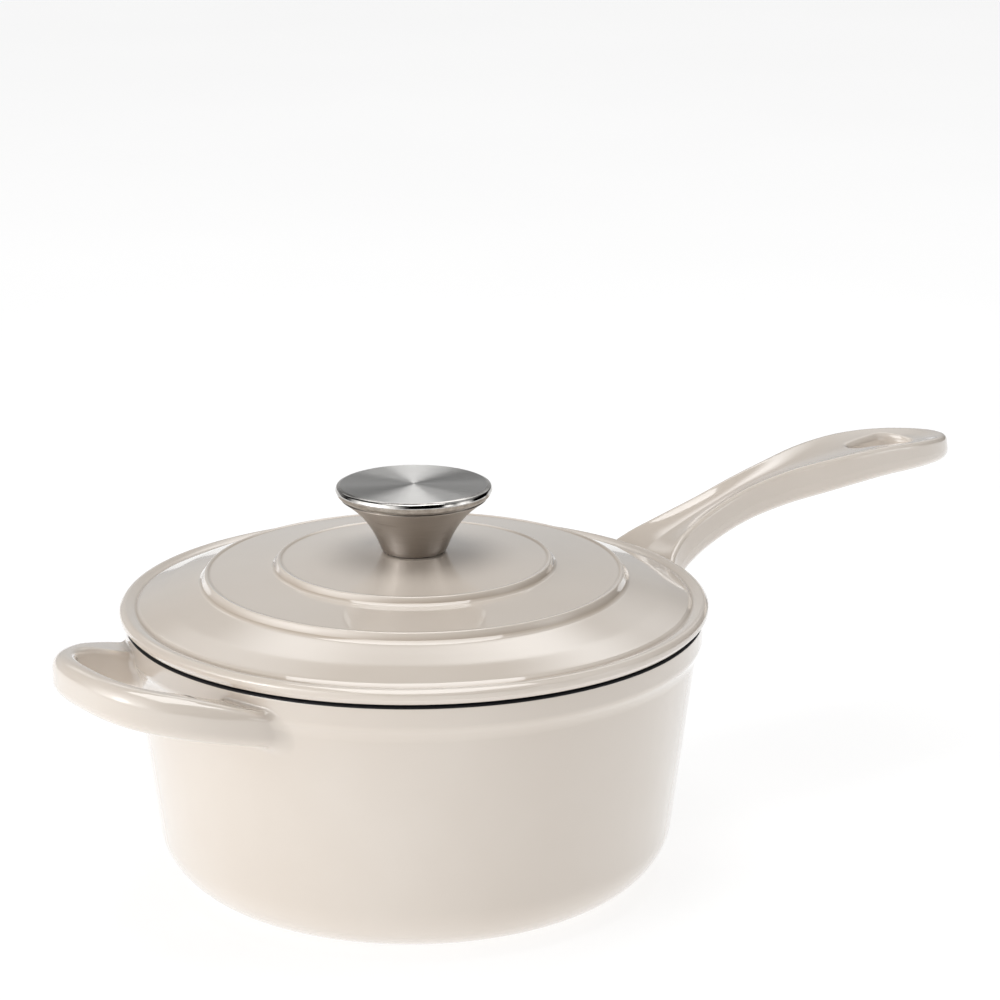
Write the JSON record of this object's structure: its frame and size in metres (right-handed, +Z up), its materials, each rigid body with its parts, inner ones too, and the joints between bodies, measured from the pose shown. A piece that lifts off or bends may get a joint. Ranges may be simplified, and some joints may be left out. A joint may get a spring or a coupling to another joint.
{
  "type": "saucepan",
  "caption": "Enamelled cast-iron saucepan with a long handle, a helper handle and a loose cast lid with a flared steel knob.",
  "frame": {"origin": "centre of the flat base, on the pan's axis", "axes": "+X along the long handle, +Z up"},
  "size_m": [0.3812, 0.2002, 0.1366],
  "materials": {
    "enamel": "warm off-white glossy vitreous enamel over cast iron, with bare matt black rims",
    "knob_steel": "stainless steel, turned brushing on the face and the skirt, polished edge",
    "fastener_steel": "plain machined stainless steel"
  },
  "bodies": {
    "pan": {"pan": "enamel"},
    "lid": {"lid": "enamel", "knob_cap": "knob_steel", "knob_skirt": "knob_steel", "knob_bush": "fastener_steel", "knob_screw": "fastener_steel", "lock_washer": "fastener_steel", "flat_washer": "fastener_steel"}
  },
  "joints": [
    {"name": "lid_lift", "type": "slide", "parent": "pan", "child": "lid", "axis": [0, 0, 1], "range_m": [0, 0.15]}
  ]
}
